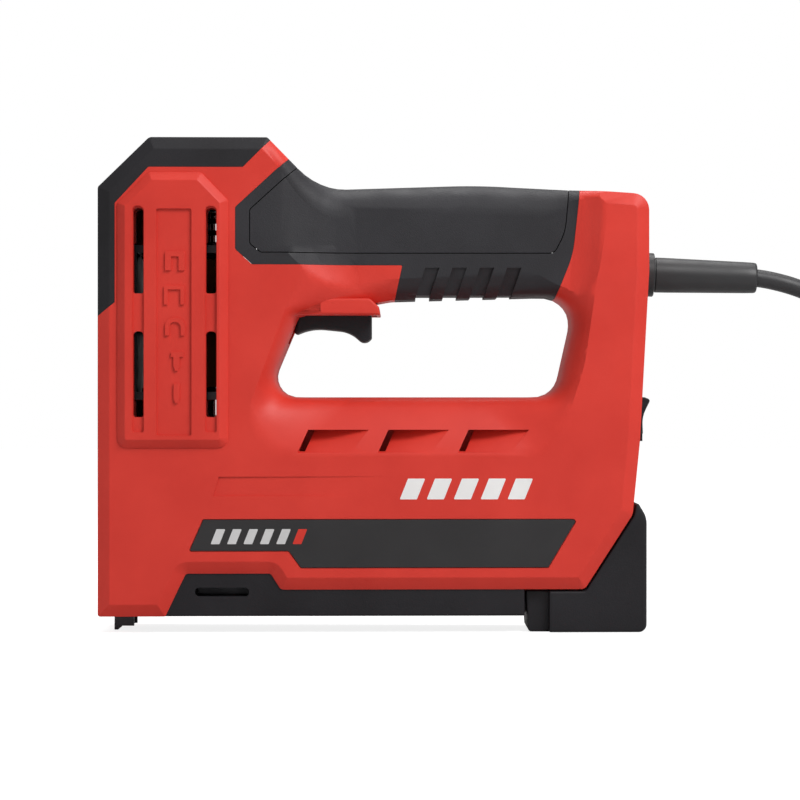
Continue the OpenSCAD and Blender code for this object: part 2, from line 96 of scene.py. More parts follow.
def rounded(corners, steps=5):
    outline = []
    for k, corner in enumerate(corners):
        if corner[2] == 0:
            outline.append(tuple(corner[:2]))
        else:
            outline += roundedCorner(corners[k - 1], corner, corners[(k + 1) % len(corners)], steps)
    return outline


def inset(corners, depth):
    area = sum(corners[k - 1][0] * c[1] - c[0] * corners[k - 1][1] for k, c in enumerate(corners))
    turn = 1 if area > 0 else -1
    moved = []
    for k, (x, z, radius) in enumerate(corners):
        here = Vector((x, z))
        inn = (here - Vector(corners[k - 1][:2])).normalized()
        out = (Vector(corners[(k + 1) % len(corners)][:2]) - here).normalized()
        normalIn, normalOut = Vector((-inn.y, inn.x)) * turn, Vector((-out.y, out.x)) * turn
        place = here + (normalIn + normalOut) * depth / (1 + normalIn.dot(normalOut))
        convex = (inn.x * out.y - inn.y * out.x) * turn > 0
        newRadius = radius and (max(radius - depth, 0.3) if convex else max(radius + depth, 0.3))
        moved.append((place.x, place.y, newRadius))
    return moved


def stack(name, rings):
    clearSelection()
    bpy.ops.mesh.primitive_circle_add(vertices=len(rings[0]), radius=1, fill_type="NGON")
    piece = bpy.context.object
    piece.name = piece.data.name = name
    for vertex, point in zip(piece.data.vertices, rings[0]):
        vertex.co = Vector(point) * mm
    order = {tuple(vertex.co): k for k, vertex in enumerate(piece.data.vertices)}
    for ring in rings[1:]:
        bpy.ops.object.mode_set(mode="EDIT")
        bpy.ops.mesh.extrude_region_move()
        bpy.ops.object.mode_set(mode="OBJECT")
        placed = {}
        for vertex in [v for v in piece.data.vertices if v.select]:
            k = order[tuple(vertex.co)]
            vertex.co = Vector(ring[k]) * mm
            placed[tuple(vertex.co)] = k
        order = placed
    editAll(piece, bpy.ops.mesh.normals_make_consistent)
    return piece


def valueAt(value, x):
    return value(x) if callable(value) else value


def slab(name, corners, near, far, steps=5):
    outline = rounded(corners, steps)
    return stack(name, [[(x, valueAt(end, x), z) for x, z in outline] for end in (near, far)])


def chamferedSlab(name, corners, halfDepth, chamfer, steps=5):
    levels = [(chamfer, 0), (0.3 * chamfer, 0.3 * chamfer), (0, chamfer)]  # step inwards, step back from the face
    rings = []
    for sign, faces in ((-1, levels), (1, levels[::-1])):
        for step, back in faces:
            outline = rounded(inset(corners, step), steps)
            rings.append([(x, sign * (valueAt(halfDepth, x) - back), z) for x, z in outline])
    return stack(name, rings)


def block(name, low, high):
    clearSelection()
    size = [b - a for a, b in zip(low, high)]
    middle = [(a + b) / 2 * mm for a, b in zip(low, high)]
    bpy.ops.mesh.primitive_cube_add(size=mm, location=middle, scale=size)
    bpy.ops.object.transform_apply(location=True, rotation=True, scale=True)
    piece = bpy.context.object
    piece.name = piece.data.name = name
    return piece


def rod(name, centre, radius, length, axis="Y", vertices=40):
    clearSelection()
    turnTo = {"X": (0, pi / 2, 0), "Y": (pi / 2, 0, 0), "Z": (0, 0, 0)}[axis]
    bpy.ops.mesh.primitive_cylinder_add(vertices=vertices, radius=radius * mm, depth=length * mm,
                                        location=Vector(centre) * mm, rotation=turnTo)
    bpy.ops.object.transform_apply(location=True, rotation=True, scale=True)
    piece = bpy.context.object
    piece.name = piece.data.name = name
    return piece


def cut(piece, tool, how="DIFFERENCE"):
    pick(piece)
    knife = piece.modifiers.new("cut", "BOOLEAN")
    knife.operation, knife.object, knife.solver = how, tool, "EXACT"
    bpy.ops.object.modifier_apply(modifier=knife.name)
    bpy.data.objects.remove(tool)


def cutMany(piece, tools):
    for tool in tools:
        cut(piece, tool)


def joined(name, pieces):
    pick(pieces[0])
    for piece in pieces:
        piece.select_set(True)
    bpy.ops.object.join()
    pieces[0].name = pieces[0].data.name = name
    return pieces[0]


def copyOf(piece, name):
    twin = piece.copy()
    twin.data = piece.data.copy()
    twin.name = twin.data.name = name
    scene.collection.objects.link(twin)
    return twin


def mirrored(piece, name):
    twin = copyOf(piece, name)
    twin.data.transform(Matrix.Scale(-1, 4, (0, 1, 0)))
    editAll(twin, bpy.ops.mesh.flip_normals)
    return twin


def mergeDoubles():
    bpy.ops.mesh.remove_doubles(threshold=finishForm["merge"] * mm)


def smooth(piece, angle=finishForm["softSmooth"]):
    pick(piece)
    bpy.ops.object.shade_smooth_by_angle(angle=radians(angle))


def soften(piece, width, segments=2, angle=40):
    editAll(piece, mergeDoubles, lambda: bpy.ops.mesh.dissolve_limited(angle_limit=radians(finishForm["flat"])))
    bevel = piece.modifiers.new("edges", "BEVEL")
    bevel.width, bevel.segments = width * mm, segments
    bevel.limit_method, bevel.angle_limit = "ANGLE", radians(angle)
    bpy.ops.object.modifier_apply(modifier=bevel.name)
    smooth(piece, finishForm["smooth"])
    weights = piece.modifiers.new("shading", "WEIGHTED_NORMAL")
    weights.keep_sharp = True
    bpy.ops.object.modifier_apply(modifier=weights.name)
    return piece


# Camera, floor and light, in metres and watts.
studio = {"cameraX": 0.0087, "cameraZ": 0.0899, "distance": 1.1, "lens": 125.5, "sensor": 36, "clipEnd": 60,
          "floorSize": 8, "floorBelow": 0.0002, "paperGrey": 0.5, "paperRough": 0.9, "paperGlow": 0.83,
          "ambient": 0.38, "backdrop": 1.0, "aim": (0, 0, 0.09)}
lamps = {"key": (17.5, 0.7, (0.75, -0.85, 1.05)), "fill": (1.2, 0.9, (-1.0, -0.9, 0.35)),
         "top": (9.0, 0.9, (0.1, 0.35, 1.3))}  # energy, size, place


def byCameraRay(tree, unseen, seen, socket):
    ray = tree.nodes.new("ShaderNodeLightPath")
    level = tree.nodes.new("ShaderNodeMapRange")
    level.inputs["To Min"].default_value, level.inputs["To Max"].default_value = unseen, seen
    tree.links.new(ray.outputs["Is Camera Ray"], level.inputs["Value"])
    tree.links.new(level.outputs["Result"], socket)


def buildStudio():
    clearSelection()
    bpy.ops.object.camera_add(location=(studio["cameraX"], -studio["distance"], studio["cameraZ"]),
                              rotation=(pi / 2, 0, 0))
    camera = bpy.context.object
    camera.data.lens, camera.data.sensor_width = studio["lens"], studio["sensor"]
    camera.data.clip_end = studio["clipEnd"]
    scene.camera = camera

    clearSelection()
    bpy.ops.mesh.primitive_plane_add(size=studio["floorSize"], location=(0, 0, -studio["floorBelow"]))
    floor = bpy.context.object
    floor.name = "floor"
    paper = bpy.data.materials.new("paper")
    paper.use_nodes = True
    shade = paper.node_tree.nodes["Principled BSDF"]
    shade.inputs["Base Color"].default_value = (*[studio["paperGrey"]] * 3, 1)
    shade.inputs["Roughness"].default_value = studio["paperRough"]
    shade.inputs["Emission Color"].default_value = (1, 1, 1, 1)
    byCameraRay(paper.node_tree, 0, studio["paperGlow"], shade.inputs["Emission Strength"])
    floor.data.materials.append(paper)

    for name, (energy, size, place) in lamps.items():
        bpy.ops.object.light_add(type="AREA", location=place)
        lamp = bpy.context.object
        lamp.name, lamp.data.energy, lamp.data.size = name, energy, size
        lamp.rotation_euler = (Vector(studio["aim"]) - Vector(place)).to_track_quat("-Z", "Y").to_euler()

    world = bpy.data.worlds.new("softRoom")
    scene.world = world
    world.use_nodes = True
    sky = world.node_tree.nodes.get("Background") or world.node_tree.nodes.new("ShaderNodeBackground")
    sky.inputs["Color"].default_value = (1, 1, 1, 1)
    byCameraRay(world.node_tree, studio["ambient"], studio["backdrop"], sky.inputs["Strength"])
    scene.view_settings.view_transform = "Standard"


buildStudio()
print("studio ready")


# Materials: two noises vary the colour and the roughness, and a third gives the moulded grain.
surfaceForm = {"patch": 35, "roughPatch": 3.3, "bumpDepth": 0.0002}


def noiseField(tree, scale, detail=3.0, stretch=(1, 1, 1)):
    place = tree.nodes.new("ShaderNodeTexCoord")
    mapping = tree.nodes.new("ShaderNodeMapping")
    mapping.inputs["Scale"].default_value = stretch
    noise = tree.nodes.new("ShaderNodeTexNoise")
    noise.inputs["Scale"].default_value = scale
    noise.inputs["Detail"].default_value = detail
    tree.links.new(place.outputs["Object"], mapping.inputs["Vector"])
    tree.links.new(mapping.outputs["Vector"], noise.inputs["Vector"])
    return noise.outputs["Fac"]


def between(tree, factor, low, high, spread=(0.3, 0.7)):
    ranged = tree.nodes.new("ShaderNodeMapRange")
    ranged.inputs["From Min"].default_value, ranged.inputs["From Max"].default_value = spread
    ranged.inputs["To Min"].default_value, ranged.inputs["To Max"].default_value = low, high
    tree.links.new(factor, ranged.inputs["Value"])
    return ranged.outputs["Result"]


def blended(tree, factor, dark, light):
    mix = tree.nodes.new("ShaderNodeMix")
    mix.data_type = "RGBA"
    mix.inputs[6].default_value, mix.inputs[7].default_value = (*dark, 1), (*light, 1)
    tree.links.new(factor, mix.inputs[0])
    return mix.outputs[2]


def grained(name, dark, light, rough, grain, bump, coat=0.0, metallic=0.0, stretch=(1, 1, 1), shine=0.5):
    material = bpy.data.materials.new(name)
    material.use_nodes = True
    tree = material.node_tree
    shade = tree.nodes["Principled BSDF"]
    patches = between(tree, noiseField(tree, surfaceForm["patch"]), 0, 1)
    tree.links.new(blended(tree, patches, dark, light), shade.inputs["Base Color"])
    wear = noiseField(tree, surfaceForm["patch"] * surfaceForm["roughPatch"], 5)
    tree.links.new(between(tree, wear, *rough), shade.inputs["Roughness"])
    raised = tree.nodes.new("ShaderNodeBump")
    raised.inputs["Strength"].default_value = bump
    raised.inputs["Distance"].default_value = surfaceForm["bumpDepth"]
    tree.links.new(noiseField(tree, grain, 2, stretch), raised.inputs["Height"])
    tree.links.new(raised.outputs["Normal"], shade.inputs["Normal"])
    shade.inputs["Metallic"].default_value = metallic
    shade.inputs["Specular IOR Level"].default_value = shine
    shade.inputs["Coat Weight"].default_value = coat
    return material


redPlastic = grained("redPlastic", (0.60, 0.034, 0.022), (0.67, 0.043, 0.028), (0.40, 0.50), 1700, 0.16,
                     shine=0.3)
softRubber = grained("softRubber", (0.017, 0.016, 0.019), (0.025, 0.024, 0.028), (0.50, 0.62), 2100, 0.34,
                     shine=0.35)
bumperRubber = grained("bumperRubber", (0.012, 0.011, 0.013), (0.018, 0.017, 0.020), (0.50, 0.62), 2100, 0.34,
                       shine=0.3)
blackPlastic = grained("blackPlastic", (0.010, 0.009, 0.011), (0.016, 0.015, 0.018), (0.38, 0.50), 1500, 0.25,
                       shine=0.28)
labelFilm = grained("labelFilm", (0.022, 0.021, 0.022), (0.028, 0.027, 0.028), (0.42, 0.50), 2600, 0.06,
                    shine=0.35)
greyPrint = grained("greyPrint", (0.55, 0.55, 0.55), (0.62, 0.62, 0.62), (0.4, 0.5), 2600, 0.05)
whitePrint = grained("whitePrint", (0.78, 0.77, 0.76), (0.85, 0.84, 0.83), (0.4, 0.5), 2600, 0.05)
brushedSteel = grained("brushedSteel", (0.50, 0.51, 0.53), (0.62, 0.63, 0.65), (0.22, 0.36), 900, 0.10,
                       metallic=1.0, stretch=(1, 1, 0.05))
# Dark steel: the real finish of the screws and plates, and also painted shade on the inner parts seen through the
# slots and on the channel under the housing.
darkSteelAndShade = grained("darkSteelAndShade", (0.045, 0.045, 0.05), (0.075, 0.075, 0.08), (0.32, 0.46), 900, 0.12,
                    metallic=0.9)
copperWire = grained("copperWire", (0.42, 0.15, 0.05), (0.58, 0.24, 0.09), (0.26, 0.4), 900, 0.2,
                     metallic=0.8, stretch=(0.05, 0.05, 1.6))
boardGreen = grained("boardGreen", (0.010, 0.085, 0.035), (0.016, 0.12, 0.05), (0.3, 0.4), 700, 0.1, coat=0.3)
cordRubber = grained("cordRubber", (0.018, 0.018, 0.019), (0.027, 0.026, 0.028), (0.42, 0.52), 1400, 0.12)


def settle(piece, body, material, slot, *nodes):
    piece.data.materials.clear()
    piece.data.materials.append(material)
    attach(piece, body)
    if nodes:
        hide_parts(*nodes)
    return piece


# Mains cord: down from the sleeve, then a flat hank of turns beside and on each other.
cordFacts = {"diameter": 7.0, "hankX": 237.5, "run": 106.0, "outer": 28.0, "inner": 21.0}
cordRoute = [(149.1, 0, 138), (153, 0, 137.4), (158, 0, 136.3), (163, 0, 134.9), (170, 0, 132.3),
             (177, 0, 128.8), (184, -0.5, 124.2), (191, -1.5, 118.3), (197, -3, 111.7), (202, -4.8, 104.3),
             (206.2, -7, 96), (209.5, -9.6, 87), (212, -12.5, 77.5), (214.2, -15.6, 67.8),
             (216.6, -18.8, 58), (220, -21.9, 48.5), (224.8, -24.7, 40), (231.3, -26.8, 33.2),
             (240, -27.8, 28.2), (250, -28, 25.4), (262, -28, 24.5)]
plugRoute = [(237.5, -21, 24.5), (244, -20.6, 24.1), (251, -19, 22.9), (258, -16.2, 20.8),
             (265, -12.4, 18), (272, -8.2, 14.8), (279, -4.6, 12), (286, -1.9, 9.9), (292, -0.5, 8.9),
             (297, 0, 8.5)]


def hankTurns():
    left, right = cordFacts["hankX"], cordFacts["hankX"] + cordFacts["run"]
    step, points = cordFacts["diameter"], []

    def ease(t):
        return t * t * (3 - 2 * t)

    def straight(fromX, toX, y, fromZ, toZ, toY=None, count=6):
        for k in range(1, count + 1):
            t = k / count
            points.append((fromX + (toX - fromX) * t, y + ((y if toY is None else toY) - y) * ease(t),
                           fromZ + (toZ - fromZ) * ease(t)))

    def fold(centreX, radius, height, start):
        for k in range(1, 8):
            angle = radians(start + 180 * k / 7)
            points.append((centreX + radius * cos(angle), radius * sin(angle), height))

    for turn in range(3):
        height = step * (3.5 - turn)
        lower = height - step
        straight(262, 326, -cordFacts["outer"], height, lower, count=8)
        straight(326, right, -cordFacts["outer"], lower, lower, count=2)
        fold(right, cordFacts["outer"], lower, -90)
        straight(right, left, cordFacts["outer"], lower, lower, count=5)
        fold(left, cordFacts["outer"], lower, 90)
        if turn < 2:
            straight(left, 262, -cordFacts["outer"], lower, lower, count=2)
    straight(left, 266, -cordFacts["outer"], step / 2, step / 2, toY=-cordFacts["inner"], count=6)
    for turn in range(3):
        height = step * (0.5 + turn)
        upper = height + step
        straight(266 if turn == 0 else left, right, -cordFacts["inner"], height, height, count=5)
        fold(right, cordFacts["inner"], height, -90)
        straight(right, 326, cordFacts["inner"], height, height, count=2)
        straight(326, 262, cordFacts["inner"], height, upper, count=8)
        straight(262, left, cordFacts["inner"], upper, upper, count=2)
        fold(left, cordFacts["inner"], upper, 90)
    return points


def buildCord():
    points = cordRoute + hankTurns() + plugRoute[1:]
    line = bpy.data.curves.new("powerCord", "CURVE")
    line.dimensions, line.bevel_depth, line.bevel_resolution = "3D", cordFacts["diameter"] / 2 * mm, 4
    line.resolution_u, line.use_fill_caps = 3, True
    spline = line.splines.new("BEZIER")
    spline.bezier_points.add(len(points) - 1)
    for knot, point in zip(spline.bezier_points, points):
        knot.co = Vector(point) * mm
        knot.handle_left_type = knot.handle_right_type = "AUTO"
    cord = bpy.data.objects.new("powerCord", line)
    scene.collection.objects.link(cord)
    return cord, sum((Vector(b) - Vector(a)).length for a, b in zip(points, points[1:])) * mm


powerCord, cordLength = buildCord()
settle(powerCord, "housing", cordRubber, "cord_jacket", "power_cord", "plug_lead", "cord_hank")
print("cord length", round(cordLength, 3))


# Plug and ties.
plugForm = {"tailX": 297.0, "shoulderX": 314.0, "faceX": 339.0, "halfWide": 12.8, "middleZ": 8.5}


def plugRing(x, halfWide, halfTall, squareness, count=40):
    points = []
    for k in range(count):
        c, s = cos(2 * pi * k / count), sin(2 * pi * k / count)
        points.append((x, halfWide * (1 if c > 0 else -1) * abs(c) ** squareness,
                       plugForm["middleZ"] + halfTall * (1 if s > 0 else -1) * abs(s) ** squareness))
    return points


def buildPlug():
    f = plugForm
    rings = [plugRing(f["tailX"], 4.4, 4.4, 1.0), plugRing(f["tailX"] + 1, 4.7, 4.7, 1.0)]
    for k in range(4):  # ribs round the tail, where a real plug tail bends
        x = f["tailX"] + 3 + 3.4 * k
        radius = 5.0 + 0.45 * k
        rings += [plugRing(x, radius, radius, 1.0), plugRing(x + 0.3, radius - 0.6, radius - 0.6, 1.0),
                  plugRing(x + 1.2, radius - 0.6, radius - 0.6, 1.0), plugRing(x + 1.5, radius, radius, 1.0)]
    x = f["shoulderX"]
    rings += [plugRing(x + 1.8, 7.6, 6.8, 0.95), plugRing(x + 4, 10.4, 7.7, 0.7),
              plugRing(x + 7, 12.3, 8.3, 0.5), plugRing(x + 11, f["halfWide"], 8.4, 0.42),
              plugRing(f["faceX"] - 1.2, f["halfWide"], 8.4, 0.4),
              plugRing(f["faceX"] - 0.3, f["halfWide"] - 0.5, 7.9, 0.4),
              plugRing(f["faceX"], f["halfWide"] - 1.2, 7.2, 0.4)]
    plug = stack("plugBody", rings)
    smooth(plug)
    return settle(plug, "housing", blackPlastic, "cord_jacket", "plug_body")


tieForm = {"along": 30, "wide": 12, "around": 16.8, "tall": 29.4, "thick": 1.2, "roof": 28.3, "clear": 1.4}


def buildTie(name, sign):
    f = tieForm
    x, end = cordFacts["hankX"] + f["along"], cordFacts["hankX"] + f["along"] + f["wide"]
    near = -(cordFacts["outer"] + cordFacts["diameter"] / 2 + f["clear"])
    tie = block(name, (x, near, 0.05), (end, near + f["around"], f["tall"]))
    cut(tie, block("inside", (x - 1, near + f["thick"], -1), (end + 1, near + f["around"] - f["thick"], f["roof"])))
    cut(tie, block("fold", (x - 1, near + 5, 28.9), (end + 1, near + 5.6, 31)))
    if sign > 0:
        tie.data.transform(Matrix.Scale(-1, 4, (0, 1, 0)))
        editAll(tie, bpy.ops.mesh.flip_normals)
    soften(tie, 0.4)
    return settle(tie, "housing", softRubber, "cord_jacket", *(["cord_ties"] if sign < 0 else []))


plug = buildPlug()
ties = [buildTie("cordTieLeft", -1), buildTie("cordTieRight", 1)]
print("plug and ties ready")


# Strain relief sleeve.
reliefForm = {"start": (105.6, 0.0, 139.3), "tilt": 1.7, "sides": 40,
              "flange": [(0.3, 6.3), (0.3, 8.2), (0.6, 8.6), (2.7, 8.6), (3.0, 8.3), (3.1, 6.5), (3.5, 6.5),
                         (3.7, 6.9)],
              "end": [(42.4, 6.0), (43.2, 5.8), (43.5, 5.4), (43.5, 4.0), (42.4, 3.7)]}  # along, radius


def buildRelief():
    f = reliefForm
    tilt = radians(f["tilt"])
    ahead, upward = Vector((cos(tilt), 0, -sin(tilt))), Vector((sin(tilt), 0, cos(tilt)))
    start = Vector(f["start"])
    profile = f["flange"] + [(3.7 + 3.9 * k, 6.95 - 0.09 * k) for k in range(1, 10)] + f["end"]
    rings = [[tuple(start + ahead * along + (Vector((0, 1, 0)) * cos(a) + upward * sin(a)) * radius)
              for a in (2 * pi * k / f["sides"] for k in range(f["sides"]))] for along, radius in profile]
    relief = stack("strainRelief", rings)
    smooth(relief)
    return settle(relief, "housing", cordRubber, "cord_jacket", "strain_relief")


relief = buildRelief()
print("strain relief ready")

# Outlines of the housing: x, z, corner radius.
bodyOutline = [(-107.8, 6.4, 1), (-107.8, 172, 1.5), (-88, 191.3, 2.5), (-42.5, 191.3, 1.5),
               (-23.2, 172, 25), (40, 174, 250), (105.2, 169.6, 6.5), (105.2, 140, 60), (101.6, 74, 60),
               (98.8, 45.6, 5), (80.2, 16.7, 2.5), (-37.3, 16.7, 2), (-41.2, 22.9, 1.5),
               (-73.9, 22.9, 1.5), (-81.8, 6.4, 0.8)]
scoopOutline = [(-51, 83, 12), (-43.5, 67.9, 13), (68, 67.9, 9), (79.8, 102, 60), (88, 158, 8), (-22, 158, 8),
                (-33.5, 130.3, 6)]
panelOutline = [(-100, 71.5, 4), (-100, 165.7, 2), (-87.8, 177.5, 2), (-67.8, 177.5, 2), (-57.4, 166.8, 2),
                (-57.4, 71.5, 4)]
bumperOutline = [(-101, 127.5, 0), (-101, 165.7, 1), (-88.1, 179.6, 1), (-51.8, 179.6, 1), (-36, 195.5, 0),
                 (-36, 205, 0), (-120, 205, 0), (-120, 112.7, 0)]
gripOutline = [(-34.8, 182.6, 0), (-54.8, 164.2, 1.5), (-54.8, 148, 1.5), (-48.3, 142.1, 1.5),
               (9.6, 142.1, 0.5), (6.6, 128.6, 0), (6, 116, 0), (64, 116, 0), (69.7, 131.1, 0),
               (75.8, 146, 40), (78.6, 172, 0), (79, 185, 0), (-20, 200, 0)]
padOutline = [(-31, 179.6, 0), (-49, 163.2, 1.5), (-49, 150.2, 1.5), (-44.8, 147, 1.5), (68.5, 147, 3),
              (72.6, 155, 20), (74.2, 172, 0), (74.6, 190, 0), (-22, 200, 0)]
labelForm = {"clear": 0.3, "sunk": 0.15, "ink": 0.06, "pocket": 1.0, "back": 0.95}
labelOutline = [(-67.2, 44.1, 1), (77.5, 44.1, 1.2), (66.1, 25, 0.8), (-29.6, 25, 1), (-34.3, 31.5, 1),
                (-72.8, 31.5, 0.8)]
screwPlaces = [(-100.2, 166), (-49, 178), (-56, 50), (56, 57), (90, 62), (93, 158)]


def outerForm(name):
    edge, drop = bodyForm["chamfer"], bodyForm["edgeDrop"]
    sections = [(0, None), (0, drop), (0.3, drop - 0.25), (edge - 0.2, 0.2), (edge + 0.5, 0)]
    rings = []
    for step, lower in sections:
        outline = rounded(inset(bodyOutline, step) if step else bodyOutline, 6)
        rings.append([(x, 0 if lower is None else lower - side(x), z) for x, z in outline])
    return stack(name, rings)


def panelForm():
    raised = bodyForm["panelRaise"]
    rings = []
    for step, proud in ((0, -2), (0, 0.5), (0.25, 0.8), (2.9, raised - 0.15), (3.4, raised)):
        outline = rounded(inset(panelOutline, step) if step else panelOutline, 5)
        rings.append([(x, -side(x) - proud, z) for x, z in outline])
    return stack("panel", rings)


def reach(outline, centre, angle):
    way = (cos(angle), sin(angle))
    best = 0
    for (ax, az), (bx, bz) in zip(outline, outline[1:] + outline[:1]):
        ex, ez = bx - ax, bz - az
        cross = way[0] * ez - way[1] * ex
        if abs(cross) < 1e-9:
            continue
        distance = ((ax - centre[0]) * ez - (az - centre[1]) * ex) / cross
        share = ((ax - centre[0]) * way[1] - (az - centre[1]) * way[0]) / cross
        if distance > 0 and -1e-6 <= share <= 1 + 1e-6:
            best = max(best, distance)
    return best


# The hollow round the hand hole: it falls slowly from the crease, then rolls over into the rim.
rimOutline = [(-44.6, 90.5, 8.3), (69.8, 90.5, 10), (78.9, 131.1, 11), (5, 129.2, 6), (-31, 122.8, 2)]
scoopForm = {"centre": (15, 110), "rays": 168, "firstRay": 0.003, "lean": 6.2, "roll": 7.4, "levels": 9,
             "rim": 0.45, "margin": -0.06}


def scoopDepth(share):
    return scoopForm["lean"] * share + scoopForm["roll"] * (1 - sqrt(max(0, 1 - share * share)))


def scoopFloor(x, z, share):
    # Near the handle's front the hollow runs a little under the handle's own slope, so that they blend.
    f = handleForm
    turned = f["lowX"] + (x - f["lowX"]) * (f["highZ"] - f["lowZ"]) / (z - f["lowZ"]) if z < f["highZ"] else x
    rise = handleHalf(turned) if z > f["lowZ"] + 5 else outside
    clear = 0.3 - 0.55 * min(1, share / 0.35) + max(0, x + 8) * 0.5
    return max(scoopDepth(share) - side(x), -rise - clear)


def scoopTool():
    f = scoopForm
    crease, hole = rounded(scoopOutline, 6), rounded(inset(rimOutline, f["rim"]), 6)
    angles = [2 * pi * k / f["rays"] + f["firstRay"] for k in range(f["rays"])]
    outer = [reach(crease, f["centre"], a) for a in angles]
    inner = [reach(hole, f["centre"], a) for a in angles]

    def ring(share, depth):
        points = []
        for a, far, near in zip(angles, outer, inner):
            radius = far + (near - far) * share
            x, z = f["centre"][0] + radius * cos(a), f["centre"][1] + radius * sin(a)
            points.append((x, depth(x, z), z))
        return points

    rings = [ring(f["margin"], lambda x, z: -outside), ring(f["margin"], lambda x, z: -side(x) - 0.3)]
    for k in range(f["levels"] + 1):
        share = (k / f["levels"]) ** 0.8
        rings.append(ring(share, lambda x, z, share=share: scoopFloor(x, z, share)))
    return stack("scoop", rings + [ring(1.0, lambda x, z: 2)])


handleForm = {"round": 12.0, "postRound": 2.5, "lowX": -6, "lowZ": 112, "highZ": 150, "top": 215,
              "front": ((-40, 45), (-38, 26.6), (-32.5, 24.2), (-26, 22), (-17, 19.8), (-8, 18.5)),
              "crest": ((97, 26), (94, 24.8), (90, 23.5), (86, 22.4), (82.6, 21.2), (79, 19.8), (73.6, 18.5))}
# Rear limit of the cut at four heights: sharp low down, where the scoop meets it, soft at the top.
rearLevels = ((45, 81.4, 86.5, 100, 150), (23.4, 80.2, 85.6, 88.6, 90), (22.4, 78.9, 84.4, 86.2, 86),
              (21.2, 77.4, 82.8, 83.8, 82.6), (19.8, 75.4, 80.2, 80.8, 79), (18.5, 72.6, 75.6, 76, 73.6))


def handleTool():
    f = handleForm
    rings = []
    for (front, frontHalf), (rearHalf, *limits) in zip(f["front"], rearLevels):
        rings.append([(f["lowX"], -frontHalf, f["lowZ"]), (front, -frontHalf, f["highZ"]),
                      (front, -frontHalf, f["top"])]
                     + [(x, -rearHalf, z) for x, z in zip(reversed(limits), (f["top"], 158, 140, 124))])
    return stack("handleSides", rings)


def handleHalf(x):
    steps = handleForm["front"] if x < 20 else handleForm["crest"]
    for (ax, ay), (bx, by) in zip(steps, steps[1:]):
        if min(ax, bx) <= x <= max(ax, bx):
            return ay + (by - ay) * (x - ax) / (bx - ax)
    return bodyForm["handleHalf"] if -8 < x < 73.6 else outside


crownStart = (-42.4, 191.2)
crownEnd = [(66, 172.6), (74, 171.9), (80, 171.5), (86, 171.1), (92, 170.6), (99, 170.1)]


def topRoundTool():
    top = sorted([p for p in rounded(bodyOutline, 10) if -41 < p[0] < 60 and p[1] > 165])
    top = [crownStart] + top + crownEnd
    rings = []
    for k, (x, z) in enumerate(top):
        before, after = top[max(k - 1, 0)], top[min(k + 1, len(top) - 1)]
        along = Vector((after[0] - before[0], after[1] - before[1])).normalized()
        up = Vector((-along.y, along.x))
        radius = handleForm["round"] * max(0.25, min(1, (x + 44) / 26))
        fade = max(0, min(1, (x - 66) / 24))
        radius += (handleForm["postRound"] - radius) * fade
        half = min(handleHalf(x), side(x))
        shape = [(-4, radius)]
        shape += [(radius * (1 - cos(a)), radius * (1 - sin(a))) for a in (pi / 2 * j / 7 for j in range(8))]
        shape += [(radius, -12), (-4, -12)]
        rings.append([(x - up.x * a, -(half - b), z - up.y * a) for a, b in shape])
    return stack("topRound", rings)


ventForm = {"starts": (-27.4, 3.6, 34.6), "low": 69.5, "high": 78.4, "out": -40, "gapTo": -10}


def ventTools(x):
    f = ventForm
    low, high, out = f["low"], f["high"], f["out"]
    places = ((x - 3.5, low, 3.6), (x + 0.6, high, 12.5), (x + 24, high, 4.0), (x + 17, low, 0.3))
    ramp = stack("vent", [[(px, out, pz) for px, pz, _ in places],
                          [(px, deep - side(px), pz) for px, pz, deep in places]])
    gap = [(x - 3.2, low + 0.5, 0.3), (x + 0.6, high - 0.2, 0.3), (x + 3, high - 0.2, 0.3),
           (x - 0.6, low + 0.5, 0.3)]
    return [ramp, slab("ventGap", gap, f["gapTo"], out, 2)]


cavities = {"head": [(-104, 31.6, 0), (-104, 171, 0), (-86.8, 187.8, 0), (-45, 187.8, 0), (-38, 181, 0),
                     (-40, 150, 0), (-55.5, 118, 0), (-55.5, 31.6, 0)],
            "deck": [(-96.2, -5, 0), (-96.2, 26.4, 0), (57.8, 26.4, 0), (57.8, -5, 0)],
            "passage": [(-104.6, -5, 0), (-104.6, 34.5, 0), (60, 34.5, 0), (99, 31.5, 0), (99, -5, 0)],
            "lower": [(-56, 33, 0), (-56, 66, 0), (84, 66, 0), (90, 40, 0), (84, 33, 0)],
            "handle": [(-42, 140, 0), (-38, 164, 0), (72, 164, 0), (72, 136, 0), (-20, 136, 0)],
            "post": [(82, 60, 0), (86, 100, 0), (90, 124, 0), (91.5, 160, 0), (100, 160, 0),
                     (101, 140, 0), (98, 74, 0), (95.5, 52, 0)]}
cavityReach = {"head": lambda x: 3.4 - side(x), "deck": lambda x: 2.9 - side(x), "passage": -8.8,
               "lower": lambda x: 3.2 - side(x), "handle": -11.5, "post": lambda x: 3.6 - side(x)}
cradleWalls = (((-105, -17.4, 150.7), (-42, -15.4, 176)), ((-105, -17.4, 58), (-55, -15.4, 89.4)))


